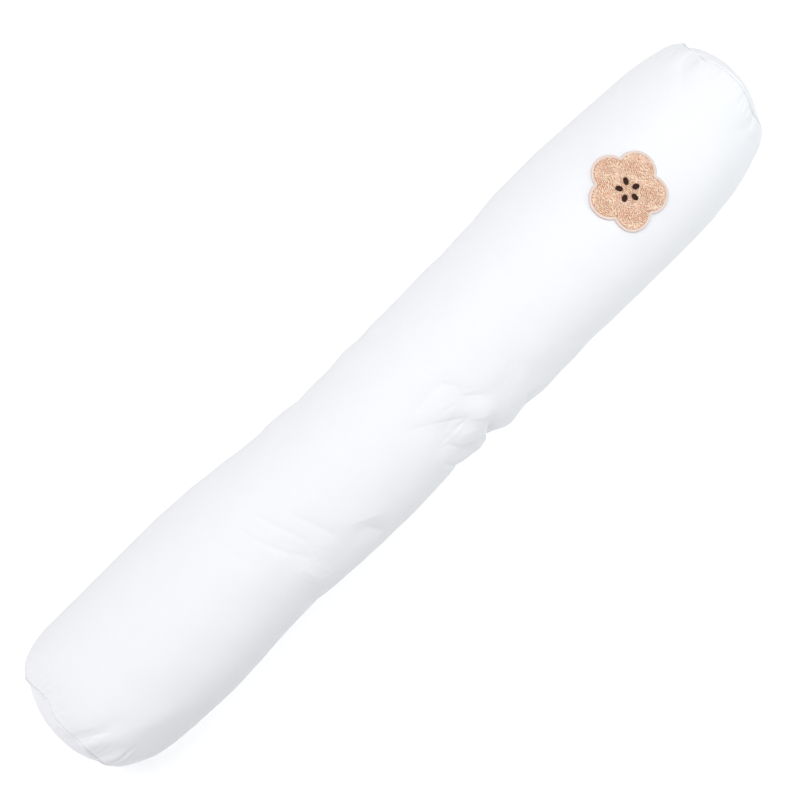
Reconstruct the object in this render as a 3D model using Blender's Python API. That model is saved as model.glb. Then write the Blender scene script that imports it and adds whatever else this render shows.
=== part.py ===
"""Baby bolster pillow: a filled white cotton tube closed by two round end panels, with a sewn flower patch.

Frame: +X runs along the bolster towards the end with the patch, +Z is up, the front is -Y, where the cover is
pinched in, and the origin lies on the floor under the middle of the whole part.

A turn is an angle round the bolster in degrees: 0 is its top line, 90 the front, 180 the floor and -90 the back.
The tables are in millimetres and degrees. The meshes are in metres.
"""
import math

import bmesh
import bpy
import numpy as np
from mathutils import Matrix, Vector

MM = 0.001

# Sections of the filled cover: the drawn-in waist, the fuller ends and the shoulders down to the seams.
# Columns: place along X, width from the centre line to the back, to the front, top height, lowest height.
SECTIONS = (
    (-356.0, 53.2, 49.8, 107.0, 9.0),
    (-352.5, 57.5, 52.8, 109.5, 5.5),
    (-347.0, 61.8, 56.0, 112.5, 2.5),
    (-334.0, 67.0, 62.4, 116.0, -0.8),
    (-300.0, 68.8, 68.0, 119.0, -3.0),
    (-235.0, 68.8, 70.3, 121.0, -4.0),
    (-170.0, 68.0, 65.8, 118.5, -4.0),
    (-105.0, 62.5, 68.7, 115.5, -4.0),
    (-50.0, 59.2, 69.7, 113.5, -4.0),
    (0.0, 60.2, 69.2, 112.0, -4.0),
    (62.0, 60.2, 71.9, 113.5, -4.0),
    (125.0, 62.4, 71.3, 116.0, -4.0),
    (215.0, 67.2, 71.0, 120.5, -4.0),
    (270.0, 64.8, 70.3, 120.5, -3.5),
    (316.0, 62.2, 65.4, 119.0, -2.5),
    (338.0, 59.0, 59.2, 117.5, 0.0),
    (349.0, 56.6, 56.0, 116.0, 2.0),
    (356.0, 54.2, 52.6, 114.5, 4.5),
    (361.0, 49.5, 49.2, 111.5, 7.5),
)
WIDEST_HEIGHT = 58.0
SIDE_POWER_ABOVE = 2.06
SIDE_POWER_BELOW = 2.3
MM_PER_DEGREE = 1.13

# The seam at the right end leans: its back lies further out than its front, by this much on each side.
RIGHT_LEAN = 0.8
LEAN_START = 318.0

# Rings of points along the cover. Columns: first and last place of the stretch, and the spacing in it.
STRETCHES = (
    (-356.0, -330.0, 4.4),
    (-330.0, -190.0, 13.0),
    (-190.0, -60.0, 8.2),
    (-60.0, -20.0, 10.0),
    (-20.0, 100.0, 6.0),
    (100.0, 150.0, 10.0),
    (150.0, 324.0, 16.0),
    (324.0, 361.0, 4.7),
)
# Points round each ring, dense where the folds are. Columns: first and last turn, and the step.
TURN_RANGES = (
    (-105.0, 105.0, 5.0),
    (105.0, 153.0, 12.0),
    (153.0, 207.0, 9.0),
    (207.0, 255.0, 12.0),
)

# Folds in the cover. Columns: place and turn where the fold starts, place and turn where it ends,
# width of its slope, and height, which is negative for a trough and positive for a ridge.
FOLDS = (
    # Slack wrinkles across the top, left of the middle
    (-139.0, -21.0, -131.0, -1.0, 5.0, -1.3),
    (-131.0, -1.0, -122.0, 21.0, 5.0, -1.5),
    (-115.0, 4.0, -105.0, 32.0, 5.0, -1.4),
    (-154.0, -16.0, -143.0, 10.0, 5.5, -1.5),
    (-143.0, 10.0, -131.0, 31.0, 5.0, -1.3),
    (-176.0, -25.0, -167.0, 1.0, 6.0, -1.2),
    (-142.0, 36.0, -136.0, 56.0, 5.0, 1.5),
    (-88.0, 36.0, -69.0, 47.0, 6.0, 1.6),
    (-84.0, 45.0, -76.0, 64.0, 6.0, -2.4),
    # The pinch in the front, with the creases that run into it
    (43.0, 57.0, 42.0, 72.0, 6.0, -4.0),
    (42.0, 72.0, 38.0, 92.0, 5.5, -6.0),
    (38.0, 92.0, 37.0, 122.0, 5.5, -4.5),
    (44.0, 42.0, 43.0, 50.0, 8.0, 3.2),
    (52.0, 76.0, 51.0, 112.0, 8.0, 1.2),
    (36.0, 10.0, 7.0, 11.0, 5.5, -1.5),
    (42.0, 17.0, 41.5, 27.0, 5.0, -1.2),
    (41.5, 29.0, 53.0, 37.0, 5.0, -1.9),
    (-7.0, 18.0, 30.0, 42.0, 5.5, -2.0),
    (31.0, 44.0, 3.0, 44.0, 5.0, -1.9),
    (8.0, 50.0, 13.0, 63.0, 5.5, -2.0),
    (13.0, 63.0, 27.0, 74.0, 6.0, -2.6),
    (-3.0, 67.0, 5.0, 118.0, 5.5, -2.4),
    (87.5, 34.0, 71.0, 42.0, 6.0, -1.5),
    (78.0, 72.0, 72.0, 118.0, 6.0, -2.4),
    (123.0, 55.0, 93.0, 55.0, 9.0, -2.0),
    (143.0, 66.0, 148.0, 112.0, 7.0, -2.2),
    # Soft steps along the back edge and the front edge
    (-112.0, -68.0, -108.0, -112.0, 7.0, -0.8),
    (-94.0, -72.0, -93.0, -112.0, 6.0, -1.4),
    (-53.0, -66.0, -52.0, -112.0, 6.5, -1.6),
    (-17.0, -70.0, -16.0, -112.0, 6.0, -1.2),
    (14.0, -66.0, 16.0, -112.0, 7.0, -1.4),
    (108.0, -62.0, 105.0, -112.0, 7.0, -1.6),
    (-154.0, 66.0, -153.0, 114.0, 8.0, -1.8),
    (-233.0, 72.0, -234.0, 112.0, 7.0, -1.2),
    (254.0, 72.0, 252.0, 112.0, 8.0, -0.6),
    # Longer soft lines near the two ends
    (-334.0, 31.0, -296.0, 40.0, 7.0, 1.3),
    (-332.0, 50.0, -300.0, 54.0, 8.0, -1.3),
    (347.0, -35.0, 320.0, -9.0, 8.0, -1.2),
    (320.0, -9.0, 285.0, 27.0, 9.0, -1.0),
)
# Puckers that run in from the two end seams. Columns: turn at the seam, turn where the pucker fades out,
# its length along X, width, and height as in the folds.
LEFT_PUCKERS = (
    (-78.0, -74.0, 20.0, 6.0, -1.5),
    (-52.0, -50.0, 15.0, 5.0, -1.2),
    (-32.0, -22.0, 14.0, 5.0, -1.6),
    (-12.0, -10.0, 11.0, 5.0, -1.2),
    (12.0, 21.0, 24.0, 5.0, -2.0),
    (24.0, 26.0, 22.0, 5.0, 1.5),
    (38.0, 36.0, 14.0, 5.0, -1.7),
    (52.0, 45.0, 24.0, 6.0, 2.0),
    (76.0, 72.0, 16.0, 6.0, -1.6),
    (104.0, 100.0, 16.0, 8.0, -1.5),
    (140.0, 142.0, 14.0, 9.0, -1.2),
    (205.0, 208.0, 14.0, 9.0, -1.2),
    (240.0, 242.0, 16.0, 9.0, -1.3),
)
RIGHT_PUCKERS = (
    (-84.0, -80.0, 18.0, 6.0, -1.5),
    (-49.0, -43.0, 22.0, 5.5, 2.0),
    (-40.0, -34.0, 18.0, 5.0, -1.5),
    (-28.0, -24.0, 12.0, 5.0, 1.3),
    (-18.0, -15.0, 12.0, 5.0, -1.2),
    (-2.0, 0.0, 9.0, 5.0, -1.2),
    (20.0, 18.0, 13.0, 5.0, -1.3),
    (42.0, 40.0, 14.0, 5.5, -1.5),
    (62.0, 58.0, 16.0, 6.0, -1.4),
    (92.0, 88.0, 16.0, 7.0, -1.5),
    (130.0, 132.0, 14.0, 9.0, -1.2),
    (180.0, 178.0, 14.0, 9.0, -1.2),
    (232.0, 230.0, 14.0, 9.0, -1.2),
)

# End panels: round cotton pieces pushed out by the filling and sewn to the tube.
LEFT_BULGE = 13.9
RIGHT_BULGE = 14.7
PANEL_THICKNESS = 2.0
PANEL_GAP = 0.4
PANEL_STEP = 0.3
DOME_POWER = 2.3
PUCKER_FADE = 5.0
SEAM_LIP = 0.976
GROOVE_WALL = 0.970
PANEL_RIM = 0.960
DOME_RINGS = (0.90, 0.74, 0.52, 0.26)

# The patch: a five-petal flower of looped pile, edged and dotted with satin stitch, sewn on top of the bolster.
PATCH_X = 241.0
PATCH_TURN = 3.0
PATCH_SPIN = 20.0
PETALS = 5
PETAL_REACH = 16.5
PETAL_RADIUS = 13.5
POINTS_PER_PETAL = 10
SEWN_GAP = 0.35
PILE_HEIGHT = 2.7
BORDER_WIDTH = 2.4
BORDER_HEIGHT = 2.0
SEED_COUNT = 5
SEED_RING = 6.6
SEED_LENGTH = 5.4
SEED_WIDTH = 3.6
SEED_HEIGHT = 0.9
SEED_POINTS = 10

# Columns: red, green, blue, roughness
COTTON_FINISH = (0.90, 0.90, 0.905, 0.88)
PILE_FINISH = (0.66, 0.42, 0.26, 0.95)
RIM_THREAD_FINISH = (0.86, 0.64, 0.50, 0.60)
SEED_THREAD_FINISH = (0.040, 0.022, 0.015, 0.50)


def clear_scene():
    """Remove every object of the scene that the script starts in."""
    for old in list(bpy.data.objects):
        bpy.data.objects.remove(old, do_unlink=True)


def make_material(name, finish):
    """Return a Principled material for one of the finishes above."""
    red, green, blue, roughness = finish
    material = bpy.data.materials.new(name)
    material.use_nodes = True
    shader = material.node_tree.nodes["Principled BSDF"]
    shader.inputs["Base Color"].default_value = (red, green, blue, 1.0)
    shader.inputs["Roughness"].default_value = roughness
    material.diffuse_color = (red, green, blue, 1.0)
    return material


def smooth_between(rows, x):
    """Read the columns of a table at each x, on smooth curves through the rows."""
    rows = np.array(rows)
    places, values = rows[:, 0], rows[:, 1:]
    slopes = np.gradient(values, places, axis=0)
    x = np.clip(np.asarray(x, dtype=float), places[0], places[-1])
    row = np.clip(np.searchsorted(places, x) - 1, 0, len(places) - 2)
    step = places[row + 1] - places[row]
    t = ((x - places[row]) / step)[..., None]
    step = step[..., None]
    start = (2 * t**3 - 3 * t**2 + 1) * values[row] + (t**3 - 2 * t**2 + t) * step * slopes[row]
    end = (-2 * t**3 + 3 * t**2) * values[row + 1] + (t**3 - t**2) * step * slopes[row + 1]
    return np.moveaxis(start + end, -1, 0)


def fold_height(x, turn):
    """Return how far the folds and puckers lift or sink the cover at each place."""
    x, turn = np.broadcast_arrays(np.asarray(x, dtype=float), np.asarray(turn, dtype=float))
    left_seam, right_seam = SECTIONS[0][0], SECTIONS[-1][0]
    lines = list(FOLDS)
    for seam_turn, end_turn, length, width, height in LEFT_PUCKERS:
        lines.append((left_seam, seam_turn, left_seam + length, end_turn, width, height))
    for seam_turn, end_turn, length, width, height in RIGHT_PUCKERS:
        lines.append((right_seam, seam_turn, right_seam - length, end_turn, width, height))
    total = np.zeros(x.shape)
    for x1, turn1, x2, turn2, width, height in lines:
        middle_turn = (turn1 + turn2) / 2
        nearest = middle_turn + (turn - middle_turn + 180.0) % 360.0 - 180.0
        across1 = (nearest - turn1) * MM_PER_DEGREE
        run_x, run_turn = x2 - x1, (turn2 - turn1) * MM_PER_DEGREE
        along = ((x - x1) * run_x + across1 * run_turn) / (run_x**2 + run_turn**2)
        along = np.clip(along, 0.0, 1.0)
        away = np.hypot(x - x1 - along * run_x, across1 - along * run_turn)
        total += height * np.exp(-((away / width) ** 2))
    return total


def cover_points(x, turn, lift=0.0, folds=1.0):
    """Return points of the cover in millimetres, at places along X and turns round it."""
    x, turn = np.broadcast_arrays(np.asarray(x, dtype=float), np.asarray(turn, dtype=float))
    back, front, top, base = smooth_between(SECTIONS, x)
    sine, cosine = np.sin(np.radians(turn)), np.cos(np.radians(turn))
    power = np.where(cosine >= 0.0, 2.0 / SIDE_POWER_ABOVE, 2.0 / SIDE_POWER_BELOW)
    half_width = np.where(sine >= 0.0, front, back)
    half_height = np.where(cosine >= 0.0, top - WIDEST_HEIGHT, WIDEST_HEIGHT - base)
    rise = folds * fold_height(x, turn) + lift
    y = -np.sign(sine) * half_width * np.abs(sine) ** power - sine * rise
    z = WIDEST_HEIGHT + np.sign(cosine) * half_height * np.abs(cosine) ** power + cosine * rise
    lean = RIGHT_LEAN * (y / half_width) * np.clip((x - LEAN_START) / (SECTIONS[-1][0] - LEAN_START), 0.0, 1.0) ** 2
    return np.stack([x + lean, y, np.maximum(z, 0.0)], axis=-1)


def even_steps(ranges):
    """Return the values that step through each range of a table, in whole even steps."""
    values = []
    for first, last, step in ranges:
        count = max(1, round((last - first) / step))
        values.extend(first + (last - first) * i / count for i in range(count))
    return values


def ring_turns():
    """Return the turns of the points round the cover."""
    return np.array(even_steps(TURN_RANGES))


def add_ring(mesh, points):
    """Add one ring of points, given in millimetres, and return its vertices."""
    return [mesh.verts.new(Vector(point) * MM) for point in points]


def bridge(mesh, ring_a, ring_b):
    """Join two rings of equal count, or a ring and a single point, with faces."""
    count = max(len(ring_a), len(ring_b))
    for i in range(count):
        j = (i + 1) % count
        if len(ring_a) == 1:
            mesh.faces.new((ring_a[0], ring_b[j], ring_b[i]))
        elif len(ring_b) == 1:
            mesh.faces.new((ring_a[i], ring_a[j], ring_b[0]))
        else:
            mesh.faces.new((ring_a[i], ring_a[j], ring_b[j], ring_b[i]))


def solid_from_rings(name, rings, material, parent, closed=False):
    """Make one object from rings of points; the first and last meet each other when it is closed."""
    mesh = bmesh.new()
    made = [add_ring(mesh, ring) for ring in rings]
    pairs = list(zip(made, made[1:]))
    if closed:
        pairs.append((made[-1], made[0]))
    for ring_a, ring_b in pairs:
        bridge(mesh, ring_a, ring_b)
    bmesh.ops.recalc_face_normals(mesh, faces=mesh.faces)
    data = bpy.data.meshes.new(name)
    mesh.to_mesh(data)
    mesh.free()
    data.materials.append(material)
    data.shade_smooth()
    data.set_sharp_from_angle(angle=math.radians(50.0))
    piece = bpy.data.objects.new(name, data)
    bpy.context.scene.collection.objects.link(piece)
    piece.parent = parent
    return piece


def dome_ring(seam_x, share, depth):
    """Return the seam's ring drawn in to a share of its size and moved along X; its puckers fade inwards."""
    ring = cover_points(seam_x, ring_turns(), folds=share**PUCKER_FADE)
    centre = ring.mean(axis=0)
    points = centre + (ring - centre) * share
    points[:, 0] += depth
    return points


def dome_rings(seam_x, outward, bulge, first_share, start_depth):
    """Return rings from a rim to the crown of a domed end, the last one a single point."""
    rings = []
    for share in (first_share, *DOME_RINGS):
        rise = bulge * (1.0 - (share / first_share) ** DOME_POWER)
        rings.append(dome_ring(seam_x, share, outward * (start_depth + rise)))
    crown = dome_ring(seam_x, 0.0, outward * (start_depth + bulge))[:1]
    return rings + [crown]


def body_end_rings(seam_x, outward, bulge):
    """Return the rings of the filled body inside a seam: its lip, the groove for the panel, and the dome."""
    floor_depth = -(PANEL_STEP + PANEL_THICKNESS + PANEL_GAP)
    inner_bulge = bulge + PANEL_STEP
    rings = [
        dome_ring(seam_x, SEAM_LIP, 0.0),
        dome_ring(seam_x, GROOVE_WALL, outward * floor_depth),
    ]
    return rings + dome_rings(seam_x, outward, inner_bulge, PANEL_RIM, floor_depth)


def add_body(material, parent):
    """The filled cover as one solid, with a groove inside each end seam where the end panel sits."""
    turns = ring_turns()
    left_seam, right_seam = SECTIONS[0][0], SECTIONS[-1][0]
    body = [cover_points(place, turns) for place in even_steps(STRETCHES) + [right_seam]]
    left = body_end_rings(left_seam, -1.0, LEFT_BULGE)
    right = body_end_rings(right_seam, 1.0, RIGHT_BULGE)
    solid_from_rings("bolster_body", left[::-1] + body + right, material, parent)


def add_end_panel(name, seam_x, outward, bulge, material, parent):
    """One round end panel: a domed disc of cloth over the filling, set inside the seam."""
    inner_depth = -(PANEL_STEP + PANEL_THICKNESS)
    inner = dome_rings(seam_x, outward, bulge + PANEL_STEP, PANEL_RIM, inner_depth)
    outer = dome_rings(seam_x, outward, bulge + PANEL_STEP, PANEL_RIM, -PANEL_STEP)
    solid_from_rings(name, inner[::-1] + outer, material, parent)


def petal_outline(radius, angles):
    """Return how far the flower's edge is from its middle at each angle, for a petal radius."""
    half_petal = math.pi / PETALS
    from_petal = (angles + half_petal) % (2 * half_petal) - half_petal
    return PETAL_REACH * np.cos(from_petal) + np.sqrt(radius**2 - (PETAL_REACH * np.sin(from_petal)) ** 2)


def flower_angles():
    """Return the angles of the points round the flower, with one at each notch between petals."""
    count = PETALS * POINTS_PER_PETAL
    return (np.arange(count) + POINTS_PER_PETAL / 2) * 2 * math.pi / count


def sewn_points(distance, angle, lift):
    """Place points of the patch on the cover, from their distance and angle about its middle and their lift."""
    spun = angle + math.radians(PATCH_SPIN)
    x = PATCH_X + distance * np.cos(spun)
    turn = PATCH_TURN - distance * np.sin(spun) / MM_PER_DEGREE
    return cover_points(x, turn, lift)


def add_patch_pile(material, parent):
    """The looped-pile field of the flower: a low cushion with rounded edges."""
    angles = flower_angles()
    edge = petal_outline(PETAL_RADIUS - BORDER_WIDTH / 2 - SEWN_GAP, angles)
    # Columns: share of the way to the edge, share of the pile's height
    profile = ((1.0, 0.55), (0.95, 0.88), (0.84, 1.0), (0.56, 1.0), (0.28, 1.0))
    top = [sewn_points(edge * out, angles, SEWN_GAP + PILE_HEIGHT * up) for out, up in profile]
    bottom = [sewn_points(edge * out, angles, SEWN_GAP) for out in (1.0, 0.75, 0.5, 0.25)]
    crown = sewn_points(np.zeros(1), np.zeros(1), SEWN_GAP + PILE_HEIGHT)
    root = sewn_points(np.zeros(1), np.zeros(1), SEWN_GAP)
    solid_from_rings("patch_pile", [root] + bottom[::-1] + top + [crown], material, parent)


def add_patch_border(material, parent):
    """The satin-stitched border that holds the flower's edge down: a rounded cord round the outline."""
    angles = flower_angles()
    # Columns: place across the border from -1 inside to 1 outside, share of its height
    profile = ((-1.0, 0.0), (-0.95, 0.6), (-0.4, 1.0), (0.4, 1.0), (0.95, 0.6), (1.0, 0.0))
    rings = []
    for across, up in profile:
        edge = petal_outline(PETAL_RADIUS + across * BORDER_WIDTH / 2, angles)
        rings.append(sewn_points(edge, angles, SEWN_GAP + BORDER_HEIGHT * up))
    solid_from_rings("patch_border", rings, material, parent, closed=True)


def add_patch_seed(name, angle, material, parent):
    """One small oval of satin stitch on the pile, pointing at the flower's middle."""
    around = np.arange(SEED_POINTS) * 2 * math.pi / SEED_POINTS
    base_lift = 2 * SEWN_GAP + PILE_HEIGHT
    rings = []
    # Columns: share of the oval's size, share of its height
    for size, up in ((0.8, 0.0), (1.0, 0.35), (0.65, 0.85)):
        along = SEED_RING + size * SEED_LENGTH / 2 * np.cos(around)
        across = size * SEED_WIDTH / 2 * np.sin(around)
        rings.append(sewn_points(np.hypot(along, across), angle + np.arctan2(across, along),
                                 base_lift + SEED_HEIGHT * up))
    middle = np.array([SEED_RING])
    root = sewn_points(middle, angle, base_lift)
    crown = sewn_points(middle, angle, base_lift + SEED_HEIGHT)
    solid_from_rings(name, [root] + rings + [crown], material, parent)


def centre_on_floor(parent):
    """Move the parent so that the origin is under the middle of everything, on the floor."""
    bpy.context.view_layer.update()
    corners = np.array([piece.matrix_world @ vertex.co for piece in parent.children for vertex in piece.data.vertices])
    low, high = corners.min(axis=0), corners.max(axis=0)
    parent.matrix_world = Matrix.Translation((-(low[0] + high[0]) / 2, -(low[1] + high[1]) / 2, -low[2]))


def main():
    clear_scene()
    parent = bpy.data.objects.new("bolster", None)
    bpy.context.scene.collection.objects.link(parent)
    cotton = make_material("white_cotton", COTTON_FINISH)
    pile = make_material("tan_pile", PILE_FINISH)
    rim_thread = make_material("peach_thread", RIM_THREAD_FINISH)
    seed_thread = make_material("brown_thread", SEED_THREAD_FINISH)

    add_body(cotton, parent)
    add_end_panel("end_panel_left", SECTIONS[0][0], -1.0, LEFT_BULGE, cotton, parent)
    add_end_panel("end_panel_right", SECTIONS[-1][0], 1.0, RIGHT_BULGE, cotton, parent)
    add_patch_pile(pile, parent)
    add_patch_border(rim_thread, parent)
    for i in range(SEED_COUNT):
        angle = (i + 0.5) * 2 * math.pi / SEED_COUNT
        add_patch_seed(f"patch_seed_{i + 1}", angle, seed_thread, parent)
    centre_on_floor(parent)


main()
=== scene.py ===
"""Looks of the baby bolster pillow: cotton cover with folds and end seams, flower patch, light and camera.

Frame: +X runs along the bolster towards the end with the patch, +Z is up, and the pinched front is -Y.
A turn is an angle round the bolster in degrees: 0 is its top line, 90 the front, 180 the floor, -90 the back.
Sizes are in millimetres until a mesh is made, and the meshes are in metres.
"""
import math

import bpy
import numpy as np
from mathutils import Matrix, Vector
from mathutils.bvhtree import BVHTree


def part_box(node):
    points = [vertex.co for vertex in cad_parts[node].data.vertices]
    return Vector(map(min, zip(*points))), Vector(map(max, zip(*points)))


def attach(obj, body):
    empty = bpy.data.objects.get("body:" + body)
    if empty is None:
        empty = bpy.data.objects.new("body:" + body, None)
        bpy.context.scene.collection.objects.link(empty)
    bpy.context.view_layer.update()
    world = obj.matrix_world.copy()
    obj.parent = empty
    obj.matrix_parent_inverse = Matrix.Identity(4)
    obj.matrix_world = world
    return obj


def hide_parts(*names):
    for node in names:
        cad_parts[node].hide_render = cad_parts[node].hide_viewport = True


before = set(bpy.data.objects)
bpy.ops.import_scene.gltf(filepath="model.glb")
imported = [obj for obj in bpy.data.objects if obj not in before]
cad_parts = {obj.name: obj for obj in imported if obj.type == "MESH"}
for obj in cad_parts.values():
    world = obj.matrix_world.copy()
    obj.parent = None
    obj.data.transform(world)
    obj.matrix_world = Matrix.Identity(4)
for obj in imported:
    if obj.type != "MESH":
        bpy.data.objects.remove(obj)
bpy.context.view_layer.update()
MM = 0.001

# Where the cover's grid runs, and how the CAD solid is read
AXIS_HEIGHT = 58.0
WIDENING = 1.12
PROBE_REACH = 150.0
PANEL_INNER_DEPTH = 2.3
PROBE_AROUND = 216
PROBE_STEP = 2.0
PROBE_MARGIN = 0.2
GRID_MARGIN = 0.05
SPREAD_SAMPLES = 6000
MM_PER_DEGREE = 1.13
SMOOTH_ALONG = 4.0
SMOOTH_ROUND = 3.2
SMOOTH_AT_ENDS = 2.0
END_FADE = 26.0

# The tables below count X from the middle of the bolster in the photograph, this far from the origin.
TABLE_X = -2.9

# The cover's grid. Columns: place along X or turn, and the step of the grid there.
RING_STEPS = (
    (-372, 0.8), (-347, 0.9), (-330, 1.7), (-312, 2.9), (-190, 2.9), (-165, 1.5), (-105, 1.5),
    (-90, 1.7), (-68, 1.7), (-55, 2.7), (-20, 2.4), (-8, 0.85), (56, 0.85), (72, 1.5), (96, 2.9),
    (318, 2.9), (336, 1.7), (352, 0.9), (380, 0.8),
)
TURN_STEPS = (
    (-180, 2.7), (-125, 2.5), (-92, 1.6), (-60, 1.3), (0, 1.15), (12, 0.95), (85, 0.95), (110, 1.5),
    (135, 2.5), (180, 2.7),
)

# The cloth simulation that lets the cover's slack fall into folds over the filling
CLOTH_RING_STEPS = (
    (-372, 2.1), (-340, 2.3), (-322, 4.2), (-20, 4.2), (-8, 3.0), (80, 3.0), (95, 4.2), (325, 4.2),
    (344, 2.3), (380, 2.1),
)
CLOTH_TURN_STEPS = ((-180, 2.6), (-110, 2.1), (110, 2.1), (180, 2.6))
CLOTH_FRAMES = 20
CLOTH_QUALITY = 5
CLOTH_PRESSURE = 1.2
CLOTH_STIFFNESS = 30.0
CLOTH_SHEAR_STIFFNESS = 10.0
CLOTH_BENDING = 0.02
CLOTH_MASS = 0.15
CLOTH_SLACK = 0.09
CLOTH_CAP = 1.8
CLOTH_KEPT_SIZE = 14.0
CLOTH_HELD_AT_SEAM = 1.0
CLOTH_HELD_AT_FLOOR = 1.5
CLOTH_FADE_AT_SEAM = 3.0
SLACK_AT_SEAM = 20.0
# Slack patches. Columns: place, turn, reach along X and round the bolster, and the share of the slack.
SLACK_PATCHES = ((20, 42, 48, 40, 0.55), (-80, 55, 28, 24, 0.35), (-140, 38, 22, 26, 0.3))

# A fold's height at its ends as a share of the middle, and the low shoulders on both sides of it
FOLD_END_HEIGHT = 0.45
FOLD_END_TAPER = 0.04
FOLD_SHOULDER = 0.25
FOLD_SHOULDER_WIDTH = 2.4
# Fine folds. Columns: place and turn of one end, the same of the other, width, height (below 0: a trough).
FINE_FOLDS = (
    # Slack wrinkles left of the middle
    (-140, -22, -134, -4, 2.3, -0.70),
    (-134, -4, -128, 10, 2.1, -0.92),
    (-128, 10, -123, 23, 2.0, -0.80),
    (-116, 4, -110, 20, 2.1, -0.62),
    (-110, 20, -105, 34, 2.0, -0.56),
    (-155, -17, -149, 2, 2.3, -0.70),
    (-149, 2, -141, 17, 2.2, -0.80),
    (-141, 17, -131, 32, 2.0, -0.52),
    (-176, -25, -168, 0, 2.5, -0.40),
    (-126, 24, -116, 42, 1.4, -0.35),
    (-122, 30, -128, 46, 1.4, 0.30),
    (-141, 35, -137, 51, 1.5, 0.65),
    (-131, 40, -127, 56, 1.4, 0.45),
    (-147, 42, -143, 56, 1.6, -0.60),
    (-136, 50, -120, 58, 1.5, -0.45),
    (-83, 47, -77, 65, 1.8, -0.9),
    (-89, 37, -69, 47, 1.8, 0.5),
    # Creases that run into the pinch
    (36, 10, 21, 10, 1.8, -0.32),
    (21, 10, 4, 12, 2.0, -0.34),
    (4, 12, -8, 21, 1.5, -0.3),
    (36, 10, 41, 18, 1.7, -0.26),
    (42, 16, 41, 28, 1.7, -0.33),
    (41, 28, 54, 38, 1.6, -0.38),
    (43, 24, 56, 30, 1.2, -0.30),
    (-7, 18, 8, 27, 1.4, -0.40),
    (8, 27, 20, 35, 1.7, -0.45),
    (20, 35, 31, 43, 1.5, -0.50),
    (31, 44, 17, 44, 1.4, -0.75),
    (17, 44, 1, 44, 1.3, -0.80),
    (24, 47, 12, 48, 1.3, 0.40),
    (-2, 45, 7, 50, 2.0, -0.35),
    (7, 50, 13, 63, 1.5, -0.75),
    (13, 63, 28, 73, 1.3, -0.80),
    (33, 28, 17, 25, 1.6, -0.48),
    (30, 33, 14, 38, 1.2, -0.30),
    (22, 52, 34, 60, 2.0, 0.4),
    (0, 41, 36, 37, 8.0, -1.2),
    (58, 30, 76, 34, 8.0, 0.5),
    (62, 56, 84, 58, 8.0, -0.6),
    (34, 46, 45, 52, 1.9, 0.7),
    (-6, 62, 2, 86, 2.2, -1.1),
    (43, 60, 39, 76, 2.8, -1.1),
    (43, 66, 40, 84, 3.8, -0.8),
    (38, 75, 34, 106, 3.0, -4.4),
    (14, 61, 28, 68, 4.0, 1.1),
    (24, 74, 24, 98, 3.4, 0.7),
    (60, 70, 58, 100, 5.0, 0.4),
    (2, 84, 1, 108, 1.8, -1.5),
    (88, 33, 71, 42, 1.5, -0.5),
    (82, 22, 80, 28, 1.3, -0.4),
    (79, 68, 72, 96, 2.0, -1.0),
    (60, 44, 52, 64, 2.2, -0.45),
    (56, 64, 66, 82, 3.0, 0.5),
    (70, 52, 64, 66, 1.8, 0.40),
    (92, 54, 78, 58, 1.8, -0.35),
    # Broad forms in front of the folds at the plain end
    (-344, 34, -322, 40, 5.0, 0.6),
    (-334, 58, -285, 66, 8.0, -1.1),
    # A long soft crease behind the patch
    (346, -37, 331, -24, 2.6, -0.40),
    (331, -24, 320, -9, 3.0, -0.40),
    (320, -9, 304, 6, 3.2, -0.35),
    (304, 6, 285, 29, 3.4, -0.35),
)
# Puckers at the end seams. Columns: turn at the seam, turn where it fades, length, width, height.
LEFT_FINE_PUCKERS = (
    (-68, -62, 9, 1.4, -0.8),
    (-60, -55, 12, 1.3, -1.3),
    (-53, -48, 10, 1.2, -1.1),
    (-47, -41, 14, 1.3, -1.35),
    (-40, -34, 11, 1.2, -1.2),
    (-33, -24, 15, 1.4, -1.5),
    (-26, -20, 10, 1.2, -1.1),
    (-17, -13, 9, 1.2, -0.85),
    (-8, -6, 7, 1.2, -0.5),
    (1, 4, 8, 1.2, -0.5),
    (4, 14, 22, 3.2, 0.65),
    (12, 21, 23, 0.95, -0.85),
    (15, 18, 9, 1.3, -0.6),
    (25, 27, 7, 1.2, -0.5),
    (32, 32, 24, 5.0, 0.9),
    (38, 37, 8, 1.0, -0.6),
    (42, 42, 18, 4.0, 0.3),
    (51, 45, 25, 1.5, -1.4),
    (55, 49, 23, 1.6, 1.0),
    (60, 56, 14, 1.5, -0.55),
)
RIGHT_FINE_PUCKERS = (
    (-66, -60, 26, 1.8, -1.0),
    (-54, -48, 22, 1.8, -1.0),
    (-47, -42, 12, 1.5, -0.55),
    (-40, -36, 16, 1.5, -0.85),
    (-31, -28, 15, 2.4, 0.5),
    (-28, -25, 8, 1.2, 0.5),
    (-24, -21, 9, 1.3, -0.9),
    (-14, -12, 7, 1.2, -0.6),
    (-3, -1, 9, 1.3, -0.9),
    (6, 8, 7, 1.2, -0.6),
    (13, 15, 10, 1.3, -0.8),
    (23, 26, 8, 1.2, -0.7),
    (34, 38, 10, 1.4, -0.65),
    (41, 42, 8, 1.3, 0.5),
    (46, 46, 9, 1.4, -0.6),
    (56, 55, 11, 1.4, -0.5),
)
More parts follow.
